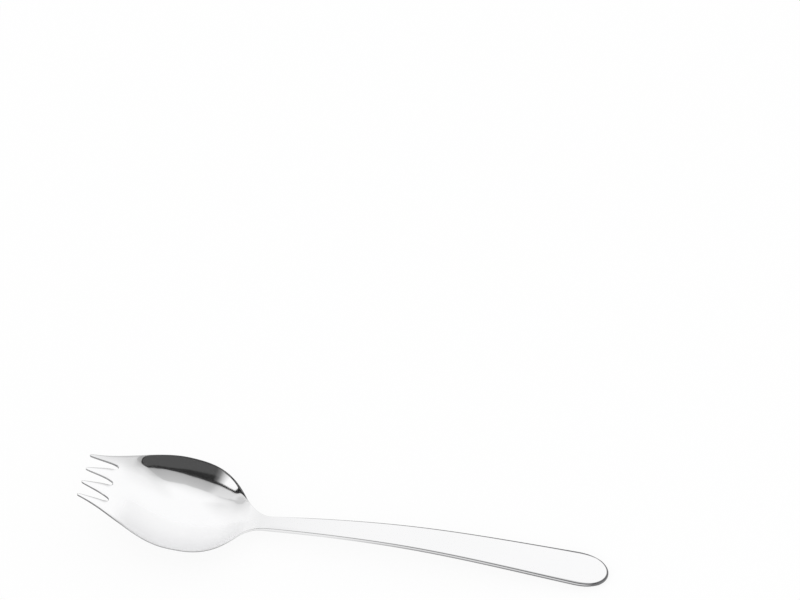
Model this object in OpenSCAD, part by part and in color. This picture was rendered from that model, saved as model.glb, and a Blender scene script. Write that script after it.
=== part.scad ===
// Four-tined spork, blanked and pressed from one piece of stainless sheet, then polished all over.
// It lies on a table as it is laid down: tines to -X, handle to +X, hollow of the bowl up.
// It touches the table under the bowl and under the end of the handle. Sizes are in millimetres.

/* [Lengths] */
// From the tine tips to the end of the handle
overall_l = 190; // [165:1:230]
// From the tine tips to the widest part of the bowl
widest_at = 34; // [28:0.5:42]
// From the tine tips to the deepest part of the bowl
deep_at = 41; // [34:0.5:48]
// From the tine tips to the steepest part of the shoulder
shoulder_at = 56.5; // [52:0.5:60]
// From the tine tips to the narrowest part of the neck
neck_at = 67.5; // [64:0.5:78]
// From the tine tips to the highest part of the handle's arch
arch_at = 113; // [95:1:135]
// Length of the rounded end of the handle
end_l = 9.2; // [5:0.2:14]

/* [Widths] */
// Across the outer edges of the tine tips
tip_span = 18.8; // [15.4:0.2:23]
// Across the widest part of the bowl
bowl_w = 40.4; // [34:0.2:48]
// Across the steepest part of the shoulder
shoulder_w = 18.8; // [15:0.2:24]
// Across the neck
neck_w = 5.6; // [4:0.1:8]
// Across the widest part of the handle
handle_w = 13.2; // [9:0.2:18]

/* [Tines] */
// Length of the slots between the tines, to their rounded roots
slot_l = 10.6; // [7:0.2:15]
// Width of each slot at its rounded root
slot_w = 2; // [1.4:0.1:3]
// Distance between neighbouring slots at their roots
slot_pitch = 7; // [5.5:0.1:8]
// Width of each tine at its rounded tip
tine_tip_w = 1.1; // [0.8:0.1:2]

/* [Heights above the table] */
// Upper edge of the tine tips
tip_h = 20.9; // [15:0.1:26]
// Rim at the widest part of the bowl
rim_h = 11.6; // [9:0.1:15]
// Rim at the steepest part of the shoulder
shoulder_h = 7.5; // [6:0.1:10]
// Top of the neck, at its edges
neck_h = 5.7; // [4:0.1:8]
// Top of the handle's arch, at its edges
arch_h = 8.5; // [6:0.1:12]

/* [Metal] */
// Thickness at the tine tips
tip_t = 0.9; // [0.6:0.1:1.2]
// Thickness of the bowl
bowl_t = 1; // [0.8:0.1:1.6]
// Thickness of the neck, at its edges
neck_t = 1.7; // [1.2:0.1:2.6]
// Thickness of the end of the handle, at its edges
end_t = 1.7; // [1.2:0.1:2.6]
// How far the middle of the handle swells past its edges, on top and, less and less, underneath
crown_h = 0.35; // [0.1:0.05:0.7]
// How far the middle lies below the edges at the tine tips
tip_dish = 0.25; // [0:0.05:0.6]
// How far the middle lies below the edges at the slot roots
root_dish = 0.6; // [0.2:0.1:1.6]
// Width of the rounding along every edge
edge_w = 0.25; // [0.1:0.05:0.3]

/* [Hidden] */

// Slopes of the outline, as sideways travel over travel along the spork
tip_flare_share = 0.18;
shoulder_fall_share = 1.4;
handle_flare_share = 0.035;

// Slopes of the side view, as drop or rise over travel along the spork
tip_drop_share = 0.32;
root_drop_share = 0.6;
rim_drop_share = 0.18;
shoulder_drop_share = 0.2;
neck_rise_share = 0.11;
end_drop_share = 0.095;

// Power of the curve across the bowl: 2 is a parabola, and more is flatter at the bottom
bowl_curve = 2.1;

// How finely each stretch of the spork is divided
tines = 4;
strip_steps = 5;
tip_steps = 3;
tine_steps = 3;
root_steps = 5;
bowl_steps = 30;
handle_steps = 24;
end_steps = 7;

// Angles at which the rounded tips start and the rounded end stops, so that neither is a knife edge
tip_start_angle = 30;
end_stop_angle = 86;

tip_r = tine_tip_w / 2;
root_r = slot_w / 2;
root_at = slot_l - root_r;
end_at = overall_l - end_l;
tip_pitch = (tip_span - tine_tip_w) / (tines - 1);

// A slot's side is the line from the tine tip that just touches the circle of the root
mouth_half = tip_pitch / 2 - tip_r;
mouth_to_root = root_at - tip_r;
slot_angle = atan2(mouth_half, mouth_to_root) - asin(root_r / norm([mouth_half, mouth_to_root]));

// Knots of the curves along the spork, as station, value and slope
outline = [
    [tip_r, tip_span / 2, tip_flare_share],
    [widest_at, bowl_w / 2, 0],
    [shoulder_at, shoulder_w / 2, -shoulder_fall_share],
    [neck_at, neck_w / 2, handle_flare_share],
    [end_at, handle_w / 2, handle_flare_share],
];
rim_line = [
    [0, tip_h, -tip_drop_share],
    [widest_at, rim_h, -rim_drop_share],
    [shoulder_at, shoulder_h, -shoulder_drop_share],
    [neck_at, neck_h, neck_rise_share],
    [arch_at, arch_h, 0],
    [overall_l, end_t, -end_drop_share],
];
bowl_line = [
    [0, tip_h - tip_dish, -tip_drop_share],
    [slot_l, along(rim_line, slot_l) - root_dish, -root_drop_share],
    [deep_at, bowl_t, 0],
    [neck_at, neck_h, neck_rise_share],
];
metal = [
    [0, tip_t, 0],
    [deep_at, bowl_t, 0],
    [neck_at, neck_t, 0],
    [overall_l, end_t, 0],
];
crown = [
    [deep_at, 0, 0],
    [neck_at, crown_h, 0],
    [overall_l, crown_h, 0],
];
belly = [
    [deep_at, 0, 0],
    [neck_at, crown_h, 0],
    [overall_l, 0, 0],
];

// Value at station s of the smooth curve through the knots
function along(knots, s) =
    let (
        i = max([for (k = [0:len(knots) - 2]) k == 0 || knots[k][0] <= s ? k : 0]),
        a = knots[i],
        b = knots[i + 1],
        l = b[0] - a[0],
        t = (s - a[0]) / l
    )
    a[1] * (1 - t) * (1 - t) * (1 + 2 * t) + b[1] * t * t * (3 - 2 * t)
        + l * t * (1 - t) * (a[2] * (1 - t) - b[2] * t);

// Slope at station s of that curve
function slope(knots, s) = (along(knots, s + edge_w) - along(knots, s - edge_w)) / (2 * edge_w);

function mix(a, b, t) = a + (b - a) * t;

// Rows across the spork, as the stretch that each is in and its place there
TIP = 0;
TINE = 1;
ROOT = 2;
BODY = 3;
END = 4;
rows = [
    for (i = [0:tip_steps - 1]) [TIP, mix(tip_start_angle, 90, i / tip_steps)],
    for (i = [0:tine_steps - 1]) [TINE, i / tine_steps],
    for (i = [0:root_steps]) [ROOT, mix(slot_angle, 90, i / root_steps)],
    for (i = [1:bowl_steps]) [BODY, mix(slot_l, neck_at, i / bowl_steps)],
    for (i = [1:handle_steps - 1]) [BODY, mix(neck_at, end_at, i / handle_steps)],
    for (i = [0:end_steps]) [END, mix(0, end_stop_angle, i / end_steps)],
];
last_row = len(rows) - 1;
// The row at which the slots have closed
closed_row = tip_steps + tine_steps + root_steps;

// Station of a row on the outline drawn in by the distance e
function station(row, e) =
    row[0] == TIP ? tip_r - (tip_r - e) * cos(row[1])
    : row[0] == TINE ? mix(tip_r, root_at + (root_r + e) * sin(slot_angle), row[1])
    : row[0] == ROOT ? root_at + (root_r + e) * sin(row[1])
    : row[0] == BODY ? row[1]
    : end_at + (end_l - e) * sin(row[1]);

// Half the width of the spork at a row
function half_width(row, e) =
    let (s = station(row, e))
    row[0] == TIP ? (tip_span - tine_tip_w) / 2 + (tip_r - e) * sin(row[1])
    : row[0] == END ? (handle_w / 2 - e) * cos(row[1])
    : along(outline, s) - e * norm([1, slope(outline, s)]);

// Half the gap of a slot at a row
function half_gap(row, e) =
    row[0] == TIP ? tip_pitch / 2 - (tip_r - e) * sin(row[1])
    : row[0] == TINE ? (root_r + e) / cos(slot_angle) + (root_at - station(row, e)) * tan(slot_angle)
    : row[0] == ROOT ? (root_r + e) * cos(row[1])
    : 0;

// Middle of the boundary m between two tines, which follows the outline once the slots have closed
function boundary(row, e, m) =
    let (
        s = station(row, e),
        spread = (s - tip_r) / (root_at - tip_r),
        pitch = row[0] == TIP ? tip_pitch
            : row[0] < BODY ? mix(tip_pitch, slot_pitch, spread)
            : slot_pitch * half_width(row, e) / along(outline, slot_l)
    )
    (m - tines / 2) * pitch;

// Left and right edges of strip k, which is one tine and the metal behind it
function left_edge(row, e, k) =
    k == 0 ? -half_width(row, e) : boundary(row, e, k) + half_gap(row, e);
function right_edge(row, e, k) =
    k == tines - 1 ? half_width(row, e) : boundary(row, e, k + 1) - half_gap(row, e);

// How far the hollow of the bowl lies below the rim, and how far the handle swells past its edges
function hollow(s, y) =
    s >= neck_at ? 0
    : (along(rim_line, s) - along(bowl_line, s)) * (1 - pow(abs(y) / along(outline, s), bowl_curve));
function swell(knots, s, y) =
    let (past = max(0, s - end_at) / end_l, half = along(outline, min(s, end_at)))
    s <= deep_at ? 0 : along(knots, s) * max(0, 1 - pow(past, 2) - pow(y / half, 2));

function top_z(s, y) = along(rim_line, s) - hollow(s, y) + swell(crown, s, y);
function under_z(s, y) = along(rim_line, s) - hollow(s, y) - along(metal, s) - swell(belly, s, y);
function edge_z(s, y) = (top_z(s, y) + under_z(s, y)) / 2;

function place(s, y, z) = [s - overall_l / 2, y, z];

// Points of one face, row by row; strips share their edge points once the slots have closed
face_plan = [
    for (i = [0:last_row], k = [0:tines - 1], j = [i < closed_row || k == 0 ? 0 : 1:strip_steps])
        let (
            row = rows[i],
            y = mix(left_edge(row, edge_w, k), right_edge(row, edge_w, k), j / strip_steps)
        )
        [station(row, edge_w), y]
];
// Points along the middle of the edges, at the full outline
edge_plan = [
    for (i = [0:last_row], k = [0:tines - 1], side = [0, 1])
        if (i < closed_row || k == 0 && side == 0 || k == tines - 1 && side == 1 || i == closed_row && side == 1)
            let (row = rows[i])
            [station(row, 0), side == 0 ? left_edge(row, 0, k) : right_edge(row, 0, k)]
];
face_count = len(face_plan);
points = [
    for (p = face_plan) place(p[0], p[1], top_z(p[0], p[1])),
    for (p = face_plan) place(p[0], p[1], under_z(p[0], p[1])),
    for (p = edge_plan) place(p[0], p[1], edge_z(p[0], p[1])),
];

// Where the points of row i, strip k are in that list
function top_point(i, k, j) =
    i < closed_row ? (i * tines + k) * (strip_steps + 1) + j
    : closed_row * tines * (strip_steps + 1) + (i - closed_row) * (tines * strip_steps + 1) + k * strip_steps + j;
function under_point(i, k, j) = face_count + top_point(i, k, j);
function edge_point(i, k, side) =
    2 * face_count + (
        i < closed_row ? (i * tines + k) * 2 + side
        : i == closed_row ? closed_row * tines * 2 + k + side
        : closed_row * tines * 2 + tines + 1 + (i - closed_row - 1) * 2 + side
    );

// Two triangles for the four-sided patch a, b, c, d, turned round where flip is true
function patch(a, b, c, d, flip) = flip ? [[c, b, a], [d, c, a]] : [[a, b, c], [a, c, d]];

// Strips whose edge on one side is free at row i
function free_strips(i, side) = i < closed_row ? [0:tines - 1] : side == 0 ? [0:0] : [tines - 1:tines - 1];

top_and_under = [
    for (i = [0:last_row - 1], k = [0:tines - 1], j = [0:strip_steps - 1])
        each concat(
            patch(top_point(i, k, j), top_point(i, k, j + 1),
                top_point(i + 1, k, j + 1), top_point(i + 1, k, j), false),
            patch(under_point(i, k, j), under_point(i, k, j + 1),
                under_point(i + 1, k, j + 1), under_point(i + 1, k, j), true)
        )
];
edges = [
    for (i = [0:last_row - 1], side = [0, 1], k = free_strips(i, side))
        let (j = side * strip_steps)
        each concat(
            patch(edge_point(i, k, side), top_point(i, k, j),
                top_point(i + 1, k, j), edge_point(i + 1, k, side), side == 1),
            patch(under_point(i, k, j), edge_point(i, k, side),
                edge_point(i + 1, k, side), under_point(i + 1, k, j), side == 1)
        )
];

// Closes the end of a strip, or of the whole row, with fans of triangles from its left edge point
function closing(left, right, upper, lower, flip) = [
    for (j = [0:len(upper) - 2])
        each [
            flip ? [left, upper[j], upper[j + 1]] : [left, upper[j + 1], upper[j]],
            flip ? [left, lower[j + 1], lower[j]] : [left, lower[j], lower[j + 1]],
        ],
    flip ? [left, upper[len(upper) - 1], right] : [left, right, upper[len(upper) - 1]],
    flip ? [left, right, lower[len(lower) - 1]] : [left, lower[len(lower) - 1], right],
];
tips = [
    for (k = [0:tines - 1])
        each closing(
            edge_point(0, k, 0), edge_point(0, k, 1),
            [for (j = [0:strip_steps]) top_point(0, k, j)],
            [for (j = [0:strip_steps]) under_point(0, k, j)],
            false
        )
];
handle_end = closing(
    edge_point(last_row, 0, 0), edge_point(last_row, tines - 1, 1),
    [for (j = [0:tines * strip_steps]) top_point(last_row, 0, j)],
    [for (j = [0:tines * strip_steps]) under_point(last_row, 0, j)],
    true
);

module spork() {
    color("gainsboro")
        polyhedron(points, concat(top_and_under, edges, tips, handle_end));
}

spork();
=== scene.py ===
import math

import bmesh
import bpy
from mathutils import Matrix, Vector


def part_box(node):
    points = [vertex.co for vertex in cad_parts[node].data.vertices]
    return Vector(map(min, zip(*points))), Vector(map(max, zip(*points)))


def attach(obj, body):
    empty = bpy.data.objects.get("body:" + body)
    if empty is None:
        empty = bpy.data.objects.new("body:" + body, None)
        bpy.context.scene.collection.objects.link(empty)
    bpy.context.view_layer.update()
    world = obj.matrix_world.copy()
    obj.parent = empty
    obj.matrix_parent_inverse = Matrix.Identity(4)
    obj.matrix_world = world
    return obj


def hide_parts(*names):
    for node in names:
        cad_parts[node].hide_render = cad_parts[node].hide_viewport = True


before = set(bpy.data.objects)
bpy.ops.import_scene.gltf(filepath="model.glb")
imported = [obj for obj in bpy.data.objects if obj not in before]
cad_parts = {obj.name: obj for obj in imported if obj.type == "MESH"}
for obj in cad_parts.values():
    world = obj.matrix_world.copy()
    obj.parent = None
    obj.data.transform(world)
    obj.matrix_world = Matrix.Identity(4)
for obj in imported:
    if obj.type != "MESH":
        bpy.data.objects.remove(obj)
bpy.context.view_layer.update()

mm = 0.001


# Wraps an output socket, so that sums on it add Math nodes
class Wire:
    def __init__(self, tree, socket=None):
        self.tree = tree
        self.socket = socket

    # Adds any node: its settings first, then the values or wires of its sockets
    def node(self, kind, settings=None, sockets=None, out=0):
        made = self.tree.nodes.new(kind)
        for name, value in (settings or {}).items():
            if name == "stops":
                while len(made.color_ramp.elements) < len(value):
                    made.color_ramp.elements.new(0.5)
                for element, (place, colour) in zip(made.color_ramp.elements, value):
                    element.position = place
                    element.color = colour
            else:
                setattr(made, name, value)
        for name, value in (sockets or {}).items():
            if isinstance(value, Wire):
                self.tree.links.new(value.socket, made.inputs[name])
            else:
                made.inputs[name].default_value = value
        return Wire(self.tree, made.outputs[out] if made.outputs else None)

    def math(self, operation, first, second):
        return self.node("ShaderNodeMath", {"operation": operation}, {0: first, 1: second})

    # Goes from low to high while the value goes from start to stop
    def step(self, value, start, stop, low=0.0, high=1.0):
        ends = {"From Min": start, "From Max": stop, "To Min": low, "To Max": high}
        return self.node("ShaderNodeMapRange", {"clamp": True}, {"Value": value, **ends})

    # A grey ramp through pairs of a value and its tone, each tone over a top value
    def ramp(self, value, pairs, top=1.0):
        first, last = pairs[0][0], pairs[-1][0]
        stops = []
        for place, tone in pairs:
            grey = tone / top
            stops.append(((place - first) / (last - first), (grey, grey, grey, 1)))
        return self.node("ShaderNodeValToRGB", {"stops": stops}, {"Fac": self.step(value, first, last)})

    def mixed(self, share, first, second):
        colours = {"Factor": share, 6: first, 7: second}
        return self.node("ShaderNodeMix", {"data_type": "RGBA"}, colours, out=2)

    def __add__(self, other):
        return self.math("ADD", self, other)

    def __radd__(self, other):
        return self.math("ADD", other, self)

    def __sub__(self, other):
        return self.math("SUBTRACT", self, other)

    def __rsub__(self, other):
        return self.math("SUBTRACT", other, self)

    def __mul__(self, other):
        return self.math("MULTIPLY", self, other)

    def __rmul__(self, other):
        return self.math("MULTIPLY", other, self)

    def __truediv__(self, other):
        return self.math("DIVIDE", self, other)

    def __rtruediv__(self, other):
        return self.math("DIVIDE", other, self)


def newMaterial(name):
    material = bpy.data.materials.new(name)
    material.use_nodes = True
    material.node_tree.nodes.clear()
    return material, Wire(material.node_tree)


# The camera stands in front of the handle and looks down over the bowl
cameraPlace = {
    "spot": (85.16, -412.46, 597.51),
    "tilt": 42.0,
    "turn": 9.0,
    "lens": 90.5,
    "sensor": 36.0,
    "nearest": 10.0,
}


def makeCamera():
    data = bpy.data.cameras.new("viewCamera")
    data.lens = cameraPlace["lens"]
    data.sensor_width = cameraPlace["sensor"]
    data.clip_start = cameraPlace["nearest"] * mm
    camera = bpy.data.objects.new("viewCamera", data)
    bpy.context.scene.collection.objects.link(camera)
    camera.location = Vector(cameraPlace["spot"]) * mm
    camera.rotation_euler = (math.radians(cameraPlace["tilt"]), 0, math.radians(cameraPlace["turn"]))
    bpy.context.scene.camera = camera
    print("camera placed")


# Polished stainless, with fine hairlines along the metal, painted shade along the neck and towards the
# rims, and dark edges that are partly wear and partly painted shade
steelFinish = {
    "pale": (0.99, 0.99, 0.995, 1),
    "deep": (0.955, 0.955, 0.96, 1),
    # The tone of the painted shade on the neck and handle
    "neckShadeTone": (0.86, 0.86, 0.865, 1),
    # Stations from the tine tips, and how much painted shade darkens the metal there, standing in for the
    # darker reflection on the neck
    "neckShadeAlong": [
        (56, 0), (61, 0.7), (64, 1), (70, 0.75), (78, 0.6), (94, 0.4), (110, 0.3), (190, 0.15),
    ],
    # Grey painted shade towards the rims of the bowl, standing in for greyer reflections there
    "rim": (0.58, 0.58, 0.585, 1),
    # Worn edges, nearly black with painted shade
    "edge": (0.16, 0.16, 0.165, 1),
    "endLine": (0.865, 0.895),
    "endBegins": (0.1, 0.5),
    "endWearShade": 1.0,
    "patchNoise": {"Scale": 45.0, "Detail": 3.0, "Roughness": 0.5},
    "hairNoise": {"Scale": 9000.0, "Detail": 2.0, "Roughness": 0.6},
    "hairStretch": (0.02, 1.0, 1.0),
    "roughness": 0.04,
    "hairRoughness": 0.03,
    "patchRoughness": 0.03,
    "edgeRoughness": 0.2,
    "hairDepth": 0.02,
    "hairHeight": 0.00002,
}


def makeSteel():
    finish = steelFinish
    shape = sporkShape
    material, wire = newMaterial("polishedSteel")
    place = wire.node("ShaderNodeTexCoord", out="Object")
    along, aside = (wire.node("ShaderNodeSeparateXYZ", {}, {0: place}, out=axis) for axis in "XY")
    stretched = wire.node("ShaderNodeMapping", {}, {"Vector": place, "Scale": finish["hairStretch"]})
    hairs = wire.node("ShaderNodeTexNoise", {}, {"Vector": stretched, **finish["hairNoise"]})
    patches = wire.node("ShaderNodeTexNoise", {}, {"Vector": place, **finish["patchNoise"]})
    wornAndShaded, paintedRimShade, softened = (
        wire.node("ShaderNodeAttribute", {"attribute_name": name}, out="Fac") for name in shape["bands"]
    )
    # Edge wear with painted shade, darkening the eased edges into dark lines
    wornAndShaded = wire.node(
        "ShaderNodeMapRange",
        {"clamp": True, "interpolation_type": "SMOOTHSTEP"},
        {"Value": wornAndShaded},
    )
    # A dark line of even width, partly wear and partly painted shade, runs round the end of the handle
    past = (along - (shape["endAt"] - shape["halfLength"]) * mm) * (1 / (shape["endLength"] * mm))
    past = wire.math("MAXIMUM", past, 0.0)
    aside = aside * (1 / (shape["handleHalf"] * mm))
    endLine = wire.step(past * past + aside * aside, *finish["endLine"])
    begun = wire.step(past, *finish["endBegins"])
    wornAndShaded = wire.math("MAXIMUM", wornAndShaded, endLine * begun * finish["endWearShade"])

    # Painted shade along the neck and handle, standing in for their darker reflection
    neckShaded = wire.ramp(along, [((s - shape["halfLength"]) * mm, share) for s, share in finish["neckShadeAlong"]])
    colour = wire.mixed(patches, finish["pale"], finish["deep"])
    # Painted shade along the neck, grey painted shade towards the rims, and the worn edges with their
    # painted shade are mixed over the metal's own tone
    for share, shade in ((neckShaded, "neckShadeTone"), (paintedRimShade, "rim"), (wornAndShaded, "edge")):
        colour = wire.mixed(share, colour, finish[shade])
    roughness = (
        finish["roughness"]
        + hairs * finish["hairRoughness"]
        + patches * finish["patchRoughness"]
        + wornAndShaded * finish["edgeRoughness"]
        + softened
    )
    bump = wire.node(
        "ShaderNodeBump",
        {},
        {"Strength": finish["hairDepth"], "Distance": finish["hairHeight"], "Height": hairs},
    )
    metal = wire.node(
        "ShaderNodeBsdfPrincipled",
        {},
        {"Base Color": colour, "Metallic": 1.0, "Roughness": roughness, "Normal": bump},
    )
    wire.node("ShaderNodeOutputMaterial", {}, {"Surface": metal})
    print("steel finish made")
    return material


# Sizes of the spork in millimetres; a curve's knots are station from the tine tips, value, slope
sporkShape = {
    "halfLength": 95.0,
    "neckAt": 67.5,
    "outline": [
        (0.55, 9.4, 0.18), (34, 20.2, 0), (56.5, 9.4, -1.4), (67.5, 2.8, 0.035), (179.3, 6.83, 0.035),
    ],
    # Heights of the rim and of the middle of the bowl above the table
    "rimLine": [
        (0, 20.8, -0.32), (34, 11.6, -0.18), (56.5, 7.5, -0.2),
        (67.5, 5.7, 0.11), (113, 8.5, 0), (190, 1.7, -0.095),
    ],
    "bowlLine": [
        (0, 20.55, -0.32), (10.6, 17.04, -0.733), (18.4, 11.32, -0.786), (41, 1.2, 0),
        (51, 2.55, 0.3), (57.5, 5.35, 0.42), (61.5, 6.05, -0.05), (67.5, 5.7, 0.11),
    ],
    # Power of the curve across the bowl, and the curl in the last share of it
    "bowlCurve": [(0, 2.2, 0), (12.2, 2.2, 0), (19, 3.1, 0), (38, 2.1, 0), (67.5, 2.1, 0)],
    "curl": [
        (14.6, 0, 0), (17.1, -0.15, 0), (19, 0.02, 0.1), (20.6, 0.18, 0), (54, 0.26, 0), (60, 0, 0),
    ],
    "curlShare": 0.07,
    # Thickness of the metal, and the share of it that is left at the rim
    "metal": [(0, 0.8, 0), (6, 1.05, 0), (12, 1.25, 0), (41, 1.2, 0), (67.5, 1.7, 0), (190, 1.7, 0)],
    "rimShare": [(12, 1, 0), (22, 0.62, 0), (40, 0.5, 0), (54, 0.42, 0), (62, 0.7, 0), (67.5, 1, 0)],
    "thinFrom": (0.4, 0.6),
    "steepest": 1.7,
    "slopeReach": 0.3,
    # Swell of the handle, above and below
    "crown": [(41, 0, 0), (67.5, 0.35, 0), (190, 0.35, 0)],
    "belly": [(41, 0, 0), (67.5, 0.35, 0), (190, 0, 0)],
    # Rounded end of the handle
    "endAt": 179.3,
    "endLength": 10.5,
    "handleHalf": 6.85,
    # Tines and slots; each row on the tines has its station and its share of the width
    "tineTipWidth": 1.1,
    "tipPitch": 5.9,
    "rootPitch": 7.0,
    "rootAt": 9.0,
    "rootRadius": 1.0,
    "rootWiden": 1.012,
    "rootDraw": 1.1,
    "rootBack": (0.55, 0.2, 0.55),
    "slotSlope": 0.1534,
    "tineRows": [(0.05, 0.55), (0.45, 0.92), (1.4, 1.0), (3.4, 1.0), (5.6, 1.0), (7.7, 1.0)],
    # How the sheet is divided
    "tineFaces": 3,
    "slotFaces": 4,
    "bowlSteps": 36,
    "handleSteps": 32,
    "handleEase": 0.42,
    "endSteps": 5,
    "endTurn": 45.0,
    "endEase": 1.5,
    "evenBy": 26.0,
    # How far the columns crowd towards the edges, and its changes: amount, start, run
    "crowd": 0.5,
    "crowdChanges": [(-1.1, 48, 16), (0.2, 72, 40), (-0.25, 168, 11)],
    "smoothing": 2,
    # Widths of the eased edges, wider between two stations at the slot roots
    "edges": [
        (0, 0.2, 0), (2, 0.26, 0), (12, 0.3, 0), (40, 0.3, 0), (64, 0.12, 0),
        (85, 0.15, 0), (176, 0.2, 0), (184, 0.34, 0), (187, 0.34, 0), (190, 0.26, 0),
    ],
    "rootEdge": 0.5,
    "rootStations": (10.0, 11.2),
    "rootAside": 8.8,
    "edgeSteps": 2,
    "edgeProfile": 0.35,
    "edgeAngle": 30.0,
    "uprightBelow": 0.5,
    # Wear and painted shade where an eased edge meets the upper face, the wall and the foot
    "bands": ("edgeBand", "rimBand", "softBand"),
    "topWear": [
        (0, 0.65, 0), (12, 0.6, 0), (30, 0.25, 0), (52, 0.25, 0), (62, 0.12, 0),
        (85, 0.4, 0), (130, 0.7, 0), (175, 0.8, 0), (190, 0.8, 0),
    ],
    "wallWear": [(0, 0.15, 0), (60, 0.05, 0), (110, 0.25, 0), (180, 0.3, 0), (190, 0.9, 0)],
    "footWear": [
        (0, 0.5, 0), (12, 0.7, 0), (30, 0.85, 0), (50, 0.75, 0), (60, 0.3, 0),
        (85, 0.3, 0), (130, 0.8, 0), (175, 1, 0), (190, 1.4, 0),
    ],
    # The back edge's wear and painted shade go by another measure
    "farWearShade": [
        (0, 1, 0), (14, 0.8, 0), (17.5, 1, 0), (20, 4, 0), (55.5, 4, 0),
        (58, 1.5, 0), (66, 1, 0), (85, 2, 0), (178, 2.2, 0), (190, 1.3, 0),
    ],
    "farWall": [
        (0, 0.1, 0), (19, 0.1, 0), (40, 0.6, 0), (56, 0.9, 0), (60, 0.05, 0), (110, 0.3, 0), (190, 0.6, 0),
    ],
    "wallBelow": 0.8,
    # On the tines the wear and painted shade are multiplied by the side that an edge faces
    "slotNear": {"topWear": 0.22, "wallWear": 7.0, "footWear": 2.0},
    "slotFar": {"topWear": 0.8, "wallWear": 0.5, "footWear": 0.5},
    "slotRoot": {"topWear": 1.5, "wallWear": 7.0, "footWear": 2.0},
    "rootWearShadeFrom": 8.8,
    "rootFacing": (-0.25, 0.35),
    "tineFade": (10, 12),
    # Grey painted shade and softer polish towards the rims: how much along the spork, and its start and run
    # across it
    "nearGrey": [(11, 0, 0), (22, 0.24, 0), (48, 0.25, 0), (62, 0, 0)],
    "nearGreyFrom": (0.3, 0.6),
    "farGrey": [(0, 0.3, 0), (8, 0.5, 0), (13, 0.65, 0), (16, 0.45, 0), (18.5, 0, 0)],
    "farGreyFrom": (0.45, 0.5),
    "nearSoft": [(12, 0, 0), (18, 0.3, 0), (58, 0.35, 0), (68, 0, 0)],
    "nearSoftFrom": (-0.1, 0.4),
}


# The value of a curve at a station, through its knots
def curveAt(knots, s):
    for a, b in zip(knots, knots[1:]):
        if s <= b[0]:
            break
    run = b[0] - a[0]
    t = max(0.0, (s - a[0]) / run)
    ends = a[1] * (1 - t) ** 2 * (1 + 2 * t) + b[1] * t * t * (3 - 2 * t)
    return ends + run * t * (1 - t) * (a[2] * (1 - t) - b[2] * t)


# The same for a curve that stays at its last knot from there on
def heldAt(knots, s):
    return curveAt(knots, min(s, knots[-1][0]))


def easeStep(value, start=0.0, run=1.0):
    t = min(1.0, max(0.0, (value - start) / run))
    return t * t * (3 - 2 * t)


# Height of the pressed form above the table, before the handle is crowned
def formAt(s, y):
    shape = sporkShape
    rim = curveAt(shape["rimLine"], s)
    if s >= shape["neckAt"]:
        return rim
    across = min(1.0, abs(y) / curveAt(shape["outline"], s))
    bowl = curveAt(shape["bowlLine"], s)
    # The last of the slope curls up to the rim
    curl = heldAt(shape["curl"], s)
    lip = max(0.0, across - 1 + shape["curlShare"]) / shape["curlShare"]
    return bowl + (rim - curl - bowl) * across ** curveAt(shape["bowlCurve"], s) + curl * lip ** 2


# Heights of the two skins, a metal's thickness apart across the slope
def skinsAt(s, y):
    shape = sporkShape
    reach = shape["slopeReach"]
    along = (formAt(s + reach, y) - formAt(s - reach, y)) / (2 * reach)
    across = (formAt(s, abs(y)) - formAt(s, abs(y) - reach)) / reach
    steep = min(shape["steepest"], math.sqrt(1 + along ** 2 + across ** 2))
    half = heldAt(shape["outline"], s)
    past = max(0.0, s - shape["endAt"]) / shape["endLength"]
    dome = max(0.0, 1 - past ** 2 - (y / half) ** 2)
    # The metal thins towards the rim of the bowl
    thinned = 1 - heldAt(shape["rimShare"], s)
    gauge = curveAt(shape["metal"], s) * (1 - thinned * easeStep(abs(y) / half, *shape["thinFrom"]))
    form = formAt(s, y)
    top = form + curveAt(shape["crown"], s) * dome
    under = form - gauge * steep - curveAt(shape["belly"], s) * dome
    return under, top


# Stations of the rows across the sheet, from the tips to the end of the handle
def rowStations():
    shape = sporkShape
    stations = [place for place, share in shape["tineRows"]]
    stations.append(shape["rootAt"])
    bowl = shape["neckAt"] - shape["rootAt"]
    for i in range(1, shape["bowlSteps"] + 1):
        stations.append(shape["rootAt"] + bowl * i / shape["bowlSteps"])
    handle = shape["endAt"] - shape["neckAt"]
    for i in range(1, shape["handleSteps"] + 1):
        t = i / shape["handleSteps"]
        t -= shape["handleEase"] * math.sin(2 * math.pi * t) / (2 * math.pi)
        stations.append(shape["neckAt"] + handle * t)
    for i in range(1, shape["endSteps"] + 1):
        turned = 1 - (1 - i / shape["endSteps"]) ** shape["endEase"]
        angle = math.radians(shape["endTurn"]) * turned
        stations.append(shape["endAt"] + shape["endLength"] * math.sin(angle))
    return stations


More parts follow.
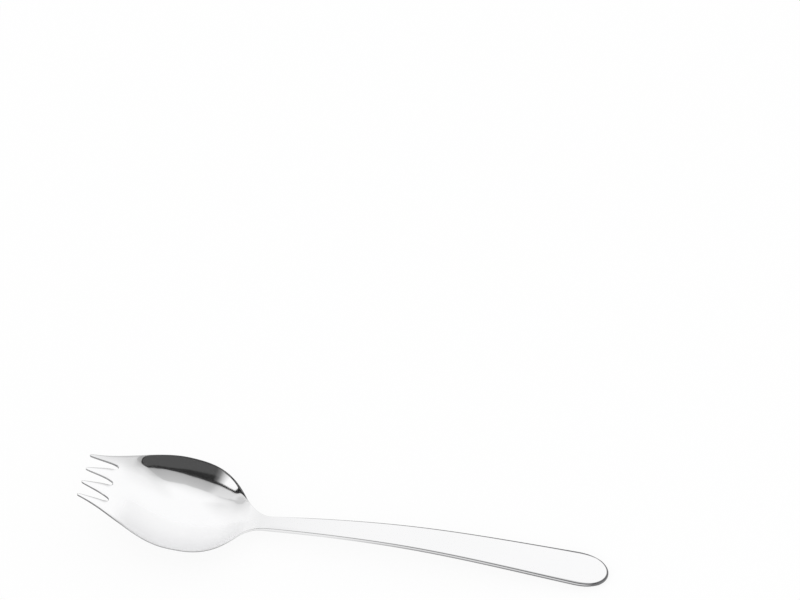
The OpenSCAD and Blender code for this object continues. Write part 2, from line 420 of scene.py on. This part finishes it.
# Distances of the column lines from the middle at a row, across one half of the sheet
def columnPlaces(row, s):
    shape = sporkShape
    tineFaces, slotFaces = shape["tineFaces"], shape["slotFaces"]
    rootAt = shape["rootAt"]
    half = heldAt(shape["outline"], s)
    if s > shape["endAt"]:
        past = (s - shape["endAt"]) / shape["endLength"]
        half = shape["handleHalf"] * math.sqrt(1 - past ** 2)
    # Closer together at the rim of the bowl, and further apart at the edges of the neck
    crowd = shape["crowd"]
    for amount, start, run in shape["crowdChanges"]:
        crowd += amount * easeStep(s, start, run)
    even = []
    steps = 2 * tineFaces + slotFaces + slotFaces // 2
    for j in range(steps + 1):
        even.append(half * (j / steps + crowd * math.sin(math.pi * j / steps) / math.pi))
    if s > shape["evenBy"]:
        return even

    tip = shape["tineTipWidth"] / 2
    held = min(max(s, tip), rootAt)
    pitch = shape["tipPitch"] + (shape["rootPitch"] - shape["tipPitch"]) * (held - tip) / (rootAt - tip)
    gap = shape["rootWiden"] * shape["rootRadius"] + (rootAt - held) * shape["slotSlope"]
    heldHalf = curveAt(shape["outline"], held)
    share = shape["tineRows"][row][1] if row < len(shape["tineRows"]) else 1.0

    def tine(inner, outer):
        centre, reach = (inner + outer) / 2, (outer - inner) / 2 * share
        return [centre + reach * (2 * j / tineFaces - 1) for j in range(tineFaces + 1)]

    places = [gap * math.sin(math.pi * j / slotFaces) for j in range(slotFaces // 2)]
    places += tine(gap, pitch - gap)
    places += [pitch - gap * math.cos(math.pi * j / slotFaces) for j in range(1, slotFaces)]
    places += tine(pitch + gap, heldHalf)
    blend = easeStep(s, rootAt, shape["evenBy"] - rootAt)
    return [p * half / heldHalf * (1 - blend) + e * blend for p, e in zip(places, even)]


# Picks points by their numbers, then slides them along the spork or widens them about its middle line
def shapePoints(mesh, numbers, slide=0.0, widen=1.0):
    sheet = bmesh.from_edit_mesh(mesh)
    sheet.verts.ensure_lookup_table()
    for vert in sheet.verts:
        vert.select = False
    for number in numbers:
        sheet.verts[number].select = True
    sheet.select_flush_mode()
    if slide:
        bpy.ops.transform.translate(value=(slide * mm, 0, 0))
    if widen != 1.0:
        bpy.ops.transform.resize(value=(1, widen, 1), center_override=(0, 0, 0))


def applyModifier(piece, name, kind, settings):
    modifier = piece.modifiers.new(name, kind)
    for key, value in settings.items():
        setattr(modifier, key, value)
    bpy.ops.object.modifier_apply(modifier=name)


# Paints each point's share of the largest amount, and gives that amount in metres
def paintGroup(piece, name, amounts):
    group = piece.vertex_groups.new(name=name)
    top = max(amounts)
    for number, amount in enumerate(amounts):
        group.add([number], max(0.0, amount / top), "REPLACE")
    return top * mm


# A flat grid is drawn out to the outline of the spork, and the slots are cut from it
def blankSheet(tipX):
    shape = sporkShape
    tineFaces, slotFaces = shape["tineFaces"], shape["slotFaces"]
    stations = rowStations()
    columns = 4 * tineFaces + 3 * slotFaces
    middle = columns // 2
    bpy.ops.object.select_all(action="DESELECT")
    bpy.ops.mesh.primitive_grid_add(x_subdivisions=len(stations) - 1, y_subdivisions=columns, size=2.0)
    piece = bpy.context.object
    piece.name = "sporkBody"
    mesh = piece.data
    mesh.name = "sporkBody"
    spots = {v.index: (round(v.co.x, 5), round(v.co.y, 5)) for v in mesh.vertices}
    xs = sorted({x for x, y in spots.values()})
    ys = sorted({y for x, y in spots.values()})
    cell = {number: (xs.index(x), ys.index(y)) for number, (x, y) in spots.items()}
    point = {place: number for number, place in cell.items()}
    print("sheet of", len(xs), "rows and", len(ys), "columns")

    # Each row goes to its station, and its column lines to their places
    bpy.ops.object.mode_set(mode="EDIT")
    bpy.ops.mesh.select_mode(type="VERT")
    for row, s in enumerate(stations):
        wholeRow = [point[row, column] for column in range(columns + 1)]
        shapePoints(mesh, wholeRow, slide=(tipX - xs[row]) / mm + s)
        for step, place in enumerate(columnPlaces(row, s)):
            if step:
                pair = [point[row, middle - step], point[row, middle + step]]
                shapePoints(mesh, pair, widen=place * mm / (ys[-1] * step / middle))

    # The slot roots are drawn back in arcs, and the end of the handle is bowed out
    rootRow = len(shape["tineRows"])
    for slot, back in enumerate(shape["rootBack"]):
        first = tineFaces + slot * (tineFaces + slotFaces)
        for j in range(1, slotFaces):
            arc = shape["rootDraw"] * shape["rootRadius"] * math.sin(math.pi * j / slotFaces)
            shapePoints(mesh, [point[rootRow, first + j]], slide=back + arc)
    endRow = len(stations) - 1 - shape["endSteps"]
    for row in range(endRow + 1, len(stations)):
        past = (stations[row] - shape["endAt"]) / shape["endLength"]
        places = columnPlaces(row, stations[row])
        for step, place in enumerate(places[:middle]):
            bow = past * (math.sqrt(2 - (place / places[-1]) ** 2) - 1)
            pair = {point[row, middle - step], point[row, middle + step]}
            shapePoints(mesh, pair, slide=shape["endLength"] * bow)

    # The slots are cut out between the tines
    sheet = bmesh.from_edit_mesh(mesh)
    sheet.faces.ensure_lookup_table()
    bpy.ops.mesh.select_mode(type="FACE")
    for face in sheet.faces:
        row, column = min(cell[v.index] for v in face.verts)
        face.select_set(row < rootRow and column % (tineFaces + slotFaces) >= tineFaces)
    bpy.ops.mesh.delete(type="FACE")
    bpy.ops.object.mode_set(mode="OBJECT")
    print("sheet blanked:", len(mesh.polygons), "faces")
    return piece


# The blank is doubled into two skins, which are lifted to their heights
def pressSheet(piece, tipX):
    bpy.ops.object.select_all(action="DESELECT")
    piece.select_set(True)
    applyModifier(piece, "double", "SOLIDIFY", {"thickness": mm, "offset": 1.0})
    heights = []
    for v in piece.data.vertices:
        under, top = skinsAt((v.co.x - tipX) / mm, v.co.y / mm)
        heights.append(top if v.co.z > mm / 2 else under)
    bpy.ops.object.mode_set(mode="EDIT")
    bpy.ops.mesh.select_all(action="SELECT")
    bpy.ops.transform.resize(value=(1, 1, 0), center_override=(0, 0, 0))
    bpy.ops.object.mode_set(mode="OBJECT")
    lift = paintGroup(piece, "lift", heights)
    applyModifier(piece, "press", "DISPLACE", {
        "direction": "Z", "mid_level": 0.0, "strength": lift, "vertex_group": "lift",
    })
    print("sheet pressed")


# Every edge is eased by its own width, and the eased faces are marked by the second material slot
def easeEdges(piece, tipX):
    shape = sporkShape
    widest = max(shape["rootEdge"], max(knot[1] for knot in shape["edges"]))
    shallow, deep = shape["rootStations"]
    solid = bmesh.new()
    solid.from_mesh(piece.data)
    weight = solid.edges.layers.float.new("bevel_weight_edge")
    for edge in solid.edges:
        s = ((edge.verts[0].co.x + edge.verts[1].co.x) / 2 - tipX) / mm
        upright = all(abs(face.normal.z) < shape["uprightBelow"] for face in edge.link_faces)
        sharp = edge.calc_face_angle(0) > math.radians(shape["edgeAngle"])
        if sharp and not (upright and s > shape["neckAt"]):
            width = curveAt(shape["edges"], s)
            inSlot = all(abs(v.co.y) < shape["rootAside"] * mm for v in edge.verts)
            if shallow < s < deep and inSlot and not upright:
                width = shape["rootEdge"]
            edge[weight] = width / widest
    solid.to_mesh(piece.data)
    solid.free()
    applyModifier(piece, "easeEdges", "BEVEL", {
        "width": widest * mm, "segments": shape["edgeSteps"], "profile": shape["edgeProfile"],
        "limit_method": "WEIGHT", "use_clamp_overlap": False, "material": 1,
    })


# Paints the wear of the eased edges with painted shade on them, and the grey painted shade and softer
# polish towards the rims
def paintWearAndShade(piece, tipX):
    shape = sporkShape
    mesh = piece.data
    meets = {}
    for face in mesh.polygons:
        for number in face.vertices:
            meets.setdefault(number, []).append((face.material_index, *face.normal))
        face.material_index = 0
    for name in shape["bands"]:
        mesh.attributes.new(name, "FLOAT", "POINT")
    band, grey, soft = (mesh.attributes[name] for name in shape["bands"])
    backLimit, outLimit = shape["rootFacing"]
    wornPoints = 0
    for number, faces in meets.items():
        spot = mesh.vertices[number].co
        s = (spot.x - tipX) / mm
        across = spot.y / mm / heldAt(shape["outline"], s)
        softness = easeStep(-across, *shape["nearSoftFrom"])
        soft.data[number].value = heldAt(shape["nearSoft"], s) * softness
        # Grey painted shade towards the rims, by one measure on the near side and another on the far side
        rim = "nearGrey" if across < 0 else "farGrey"
        grey.data[number].value = heldAt(shape[rim], s) * easeStep(abs(across), *shape[rim + "From"])

        eased = [face for face in faces if face[0]]
        if not eased:
            continue
        wornPoints += 1
        backward, outward, upward = (sum(face[i] for face in eased) / len(eased) for i in (1, 2, 3))
        plainUp = [abs(face[3]) for face in faces if not face[0]]
        wearShade = "footWear"
        if upward > 0:
            onWall = plainUp and max(plainUp) < shape["wallBelow"]
            wearShade = "wallWear" if onWall else "topWear"
        amount = curveAt(shape[wearShade], s)
        if spot.y > 0 and wearShade == "wallWear":
            amount = curveAt(shape["farWall"], s)
        elif spot.y > 0:
            amount *= curveAt(shape["farWearShade"], s)
        # On the tines the sides that face the front are the dark ones, with more painted shade
        facing = "slotNear" if outward < 0 else "slotFar"
        if s > shape["rootWearShadeFrom"] and backward < backLimit and outward < outLimit:
            facing = "slotRoot"
        onTines = 1 - easeStep(s, *shape["tineFade"])
        band.data[number].value = amount * (1 + (shape[facing][wearShade] - 1) * onTines)
    print("edges eased:", wornPoints, "points")


def makeSpork(steel):
    shape = sporkShape
    low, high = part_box("spork")
    tipX = (low.x + high.x) / 2 - shape["halfLength"] * mm
    piece = blankSheet(tipX)
    pressSheet(piece, tipX)
    mesh = piece.data
    mesh.materials.clear()
    mesh.materials.append(steel)
    mesh.materials.append(steel)
    easeEdges(piece, tipX)
    paintWearAndShade(piece, tipX)
    mesh.materials.pop(index=1)
    applyModifier(piece, "smooth", "SUBSURF", {
        "levels": shape["smoothing"], "render_levels": shape["smoothing"],
    })
    bpy.ops.object.shade_smooth()
    piece.vertex_groups.clear()
    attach(piece, "root")
    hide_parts("spork")
    print("spork finished:", sum(len(p.vertices) - 2 for p in mesh.polygons), "triangles")


# A pale floor that keeps a faint shadow
floorLook = {
    "size": 6.0,
    "pale": (0.98, 0.98, 0.98, 1),
    "grainy": (0.96, 0.96, 0.96, 1),
    "grainNoise": {"Scale": 3.0, "Detail": 4.0},
    "glow": 0.85,
}


def makeFloor():
    bpy.ops.object.select_all(action="DESELECT")
    bpy.ops.mesh.primitive_plane_add(size=floorLook["size"])
    floor = bpy.context.object
    floor.name = "paleFloor"
    material, wire = newMaterial("paleFloor")
    place = wire.node("ShaderNodeTexCoord", out="Object")
    grain = wire.node("ShaderNodeTexNoise", {}, {"Vector": place, **floorLook["grainNoise"]})
    colour = wire.mixed(grain, floorLook["pale"], floorLook["grainy"])
    matt = wire.node("ShaderNodeBsdfDiffuse", {}, {"Color": colour})
    white = wire.node("ShaderNodeEmission", {}, {"Color": (1, 1, 1, 1), "Strength": 1.0})
    rays = ("Is Camera Ray", "Is Glossy Ray", "Is Transmission Ray")
    camera, glossy, through = (wire.node("ShaderNodeLightPath", out=ray) for ray in rays)
    seen = (camera + glossy + through) * floorLook["glow"]
    surface = wire.node("ShaderNodeMixShader", {}, {0: seen, 1: matt, 2: white})
    wire.node("ShaderNodeOutputMaterial", {}, {"Surface": surface})
    floor.data.materials.append(material)
    print("floor laid")


# The studio as polished metal sees it: white all round, with a dark room on the side the camera is on.
# Angles are in degrees; turns are counted from that side towards the handle, heights from the horizon.
studioLook = {
    # Heights at each turn: the top of the dark, the top of its echo, and the lower ends of the dark
    "roomTop": [
        (-92, 0), (-84.2, 0), (-83.4, 24), (-82.4, 30.5), (-81, 33.8), (-78, 36.6), (-75, 39), (-68, 44.1),
        (-64, 46.5), (-60, 48.5), (-52, 51.8), (-44, 54.2), (-36, 56), (-28, 57), (-16, 57.5), (-4, 57.1),
        (12, 55.7), (20, 54.6), (28, 53.3), (36, 51.2), (44, 49), (52, 46.3), (60, 44), (68, 42.6),
        (76, 40.7), (81, 39.1), (83.5, 38), (85.5, 36.8), (86.3, 34), (87.2, 0),
    ],
    "echoTop": [
        (-104, 30.5), (-100, 32), (-98, 33.3), (-95, 35.5), (-92, 38.5), (-88, 45), (-83, 52), (-77, 57.8),
        (-72, 61), (-64, 64.4), (-56, 67), (-48, 68.7), (-36, 70), (-20, 71), (-4, 71), (12, 70),
        (28, 68.9), (44, 67.4), (52, 66), (60, 64), (68, 61.1), (76, 57.9), (84, 52.7), (92, 47),
        (100, 42), (106, 38),
    ],
    "roomFloor": [
        (-70, 0), (-50, 12), (-35, 22), (15, 22), (25, 14), (50, 14), (58, 24), (65, 28), (90, 28),
    ],
    "openFloor": [(-80, 42), (-77, 40), (-75.5, 36), (-74, 29), (-72, 23), (-65, 20), (-53, 23), (-45, 26)],
    # Shares at each turn of the bright opening and of the line at the neck
    "openShare": [(-54, 1), (-43, 0.53), (-35, 0.13), (-26, 0)],
    "lineShare": [(-105, 1), (-92, 1), (-80, 0.8), (-68, 0.5), (-58, 0)],
    # Tones by the height over the top of the dark, or by the way from there to the top of the echo
    "wedge": (-40.0, 75.0, 8.6, 2.4),
    "roomTones": [(-2, 0.08), (-1.25, 0.08), (-1, 0.025), (-0.12, 0.025), (-0.05, 0.01), (0, 0.01)],
    "openTones": [(-30, 1), (-4.2, 1), (-3.2, 0.02), (-0.2, 0.02), (0, 0.5)],
    "echoTones": [(0, 0.42), (0.9, 0.55), (1, 0.81)],
    "openEcho": [(0, 0.68), (0.8, 0.74), (1, 0.81)],
    "lineTones": [(0, 0.72), (0.86, 0.78), (0.95, 0.55), (1, 0.6), (1.06, 0.84)],
    "fadeTones": [(0, 0.82), (3.5, 0.9), (8, 0.96), (16, 1)],
    # Tones by the turn on either side, and by the height all round
    "leftTones": [
        (-140, 1), (-130, 0.97), (-120, 0.93), (-110, 0.89),
        (-102, 0.84), (-95, 0.84), (-85, 0.9), (-65, 1),
    ],
    "rightTones": [(60, 1), (80, 0.93), (92, 0.87), (106, 0.88), (116, 0.93), (126, 1)],
    "farTones": [
        (-60, 0.8), (-22, 0.81), (-12, 0.87), (0, 0.95), (8, 0.96), (17, 0.98), (26, 1), (90, 1),
    ],
    # Where each part starts, is whole, starts to end and ends
    "frontEdges": (-100.5, -98.5, 84.0, 98.0),
    "fadeEdges": (-118.0, -92.0, 92.0, 112.0),
    "echoEnd": (-100.5, -97.0, -89.0, -84.5),
    "echoEndHeights": (29.0, 31.5, 32.0, 36.5),
    "echoEndTone": (0.6, 0.6, 0.6, 1),
    # Soft borders, from one angle to another, some with the tones at either end
    "leftFade": (60.0, 85.0),
    "rightFade": (42.0, 62.0),
    "floorFade": (0.0, 4.0),
    "floorTone": (0.9, 0.9, 0.9, 1),
    "openBorder": (-1.5, 1.5, 0.02, 1.0),
    "darkBorder": (-0.2, 0.3),
    "echoBorder": (1.0, 1.02, 1.0, 0.0),
    "highest": 90.0,
}


def makeWorld():
    look = studioLook
    world = bpy.data.worlds.new("studio")
    bpy.context.scene.world = world
    world.use_nodes = True
    world.node_tree.nodes.clear()
    wire = Wire(world.node_tree)
    ray = wire.node("ShaderNodeTexCoord", out="Generated")
    x, y, z = (wire.node("ShaderNodeSeparateXYZ", {}, {0: ray}, out=axis) for axis in "XYZ")
    height = wire.math("ARCSINE", z, 0.0) * math.degrees(1)
    turn = wire.math("ARCTAN2", x, 0 - y) * math.degrees(1)

    def tones(value, name):
        return wire.ramp(value, look[name])

    # The height of a named line at each turn
    def line(name):
        return wire.ramp(turn, look[name], look["highest"]) * look["highest"]

    # One between the named turns or heights, and nothing outside them
    def window(name, angle=turn):
        opens, opened, closes, closed = look[name]
        return wire.step(angle, opens, opened) * wire.step(angle, closes, closed, 1.0, 0.0)

    white = (1, 1, 1, 1)
    roomTop = line("roomTop")
    echoTop = line("echoTop")
    above = height - roomTop
    room = tones(above / wire.step(turn, *look["wedge"]), "roomTones")
    openShare = tones(turn, "openShare")
    opened = tones(above, "openTones") * wire.step(height - line("openFloor"), *look["openBorder"])
    dark = wire.mixed(openShare, room, opened)
    below = line("roomFloor") - height
    dark = wire.mixed(wire.step(below, *look["floorFade"]), dark, look["floorTone"])
    # The grey echo above the dark, which ends in a line at the neck
    ratio = above / (echoTop - roomTop)
    echo = wire.mixed(openShare, tones(ratio, "echoTones"), tones(ratio, "openEcho"))
    echo = wire.mixed(tones(turn, "lineShare"), echo, tones(ratio, "lineTones"))
    echo = wire.mixed(window("echoEnd") * window("echoEndHeights", height), echo, look["echoEndTone"])
    front = wire.mixed(wire.step(above, *look["darkBorder"]), dark, echo)
    # White above and behind, greyer beside the front and just above the echo
    left = wire.mixed(wire.step(height, *look["leftFade"]), tones(turn, "leftTones"), white)
    right = wire.mixed(wire.step(height, *look["rightFade"]), tones(turn, "rightTones"), white)
    fade = wire.mixed(window("fadeEdges"), white, tones(height - echoTop, "fadeTones"))
    around = tones(height, "farTones") * left * right * fade
    inEcho = window("frontEdges") * wire.step(ratio, *look["echoBorder"])
    seen = wire.mixed(inEcho, around, front)
    # Only mirror rays see the studio; all other light is plain white
    glossy = wire.node("ShaderNodeLightPath", out="Is Glossy Ray")
    colour = wire.mixed(glossy, white, seen)
    light = wire.node("ShaderNodeBackground", {}, {"Color": colour, "Strength": 1.0})
    wire.node("ShaderNodeOutputWorld", {}, {"Surface": light})
    print("studio lit")


bpy.context.scene.view_settings.view_transform = "Standard"
makeCamera()
makeWorld()
makeFloor()
makeSpork(makeSteel())
bpy.context.view_layer.update()
